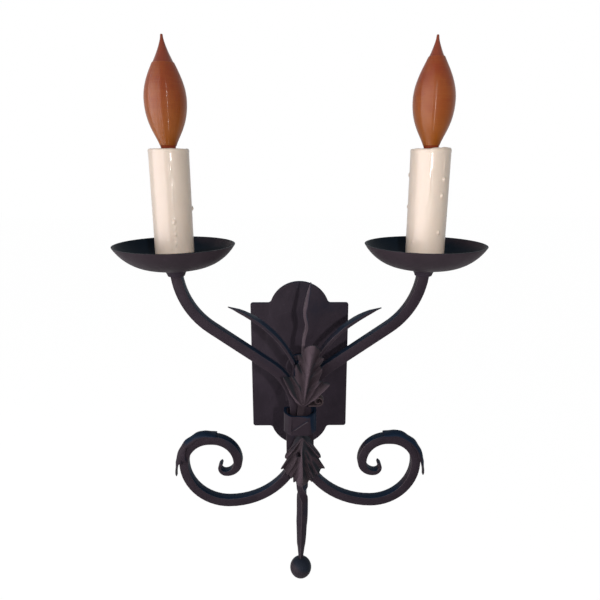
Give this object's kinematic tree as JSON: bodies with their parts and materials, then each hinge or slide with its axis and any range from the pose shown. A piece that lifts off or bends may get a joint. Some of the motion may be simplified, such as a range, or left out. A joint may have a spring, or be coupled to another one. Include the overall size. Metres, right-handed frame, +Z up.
{
  "type": "candle sconce",
  "caption": "Wall sconce in forged iron: arched plate, tube arms with round cups, drip candles and flame bulbs, scrolls, leaves and a drop ball.",
  "frame": {"origin": "centre of the fixing bore on the back of the wall plate, which lies on the wall's surface", "axes": "+X to the right along the wall as seen from the room, +Y into the wall, +Z up; the light faces -Y"},
  "size_m": [0.311, 0.1145, 0.4944],
  "materials": {
    "painted_iron": "hand-rubbed dark brown over blue-black, satin",
    "candle_resin": "cream resin with cast wax drips, satin",
    "lamp_glass": "clear amber-red glass, glossy",
    "silk_thread": "fine thread wound in close turns, sheen",
    "brass_contacts": "bright",
    "zinc_hardware": "zinc plated",
    "socket_moulding": "moulded phenolic",
    "contact_insulator": "black vitrite glass"
  },
  "bodies": {
    "bracket": {"backplate": "painted_iron", "check_ring": "painted_iron", "standoff_bush": "brass_contacts", "standoff_tube": "painted_iron", "arm_bridge": "painted_iron", "left_arm": "painted_iron", "right_arm": "painted_iron", "collar": "painted_iron", "left_scroll": "painted_iron", "right_scroll": "painted_iron", "drop_bar": "painted_iron", "ball_finial": "painted_iron", "left_blade": "painted_iron", "right_blade": "painted_iron", "centre_blade": "painted_iron", "upper_leaf": "painted_iron", "leaf_curl": "painted_iron", "lower_leaf": "painted_iron", "left_scroll_leaf": "painted_iron", "right_scroll_leaf": "painted_iron", "left_boss": "painted_iron", "right_boss": "painted_iron", "left_cup": "painted_iron", "right_cup": "painted_iron", "left_cup_nipple": "zinc_hardware", "right_cup_nipple": "zinc_hardware", "left_cup_nut": "zinc_hardware", "right_cup_nut": "zinc_hardware", "left_socket_leg": "zinc_hardware", "right_socket_leg": "zinc_hardware", "left_socket": "socket_moulding", "right_socket": "socket_moulding", "left_screw_shell": "brass_contacts", "right_screw_shell": "brass_contacts", "left_tongue": "brass_contacts", "right_tongue": "brass_contacts"},
    "left_candle_sleeve": {"left_candle": "candle_resin"},
    "right_candle_sleeve": {"right_candle": "candle_resin"},
    "left_bulb": {"left_bulb_base": "brass_contacts", "left_bulb_glass": "lamp_glass", "left_bulb_thread": "silk_thread", "left_bulb_stem": "lamp_glass", "left_filament": "zinc_hardware"},
    "right_bulb": {"right_bulb_base": "brass_contacts", "right_bulb_glass": "lamp_glass", "right_bulb_thread": "silk_thread", "right_bulb_stem": "lamp_glass", "right_filament": "zinc_hardware"},
    "left_bulb_thread_travel": {"left_bulb_contact": "contact_insulator"},
    "right_bulb_thread_travel": {"right_bulb_contact": "contact_insulator"}
  },
  "joints": [
    {"name": "left_candle_lift", "type": "slide", "parent": "bracket", "child": "left_candle_sleeve", "axis": [0, 0, 1], "range_m": [0, 0.007]},
    {"name": "left_bulb_travel", "type": "slide", "parent": "bracket", "child": "left_bulb_thread_travel", "axis": [0, 0, 1], "range_m": [0, 0.0102]},
    {"name": "left_bulb_turn", "type": "hinge", "parent": "left_bulb_thread_travel", "child": "left_bulb", "pos_m": [-0.105, -0.064, 0.2068], "axis": [0, 0, 1], "range_deg": [0, 1440]},
    {"name": "right_candle_lift", "type": "slide", "parent": "bracket", "child": "right_candle_sleeve", "axis": [0, 0, 1], "range_m": [0, 0.007]},
    {"name": "right_bulb_travel", "type": "slide", "parent": "bracket", "child": "right_bulb_thread_travel", "axis": [0, 0, 1], "range_m": [0, 0.0102]},
    {"name": "right_bulb_turn", "type": "hinge", "parent": "right_bulb_thread_travel", "child": "right_bulb", "pos_m": [0.105, -0.064, 0.2068], "axis": [0, 0, 1], "range_deg": [0, 1440]}
  ],
  "couplings": [
    {"joint": "left_bulb_travel", "follows": "left_bulb_turn", "m_per_rad": 0.00040425},
    {"joint": "right_bulb_travel", "follows": "right_bulb_turn", "m_per_rad": 0.00040425}
  ]
}
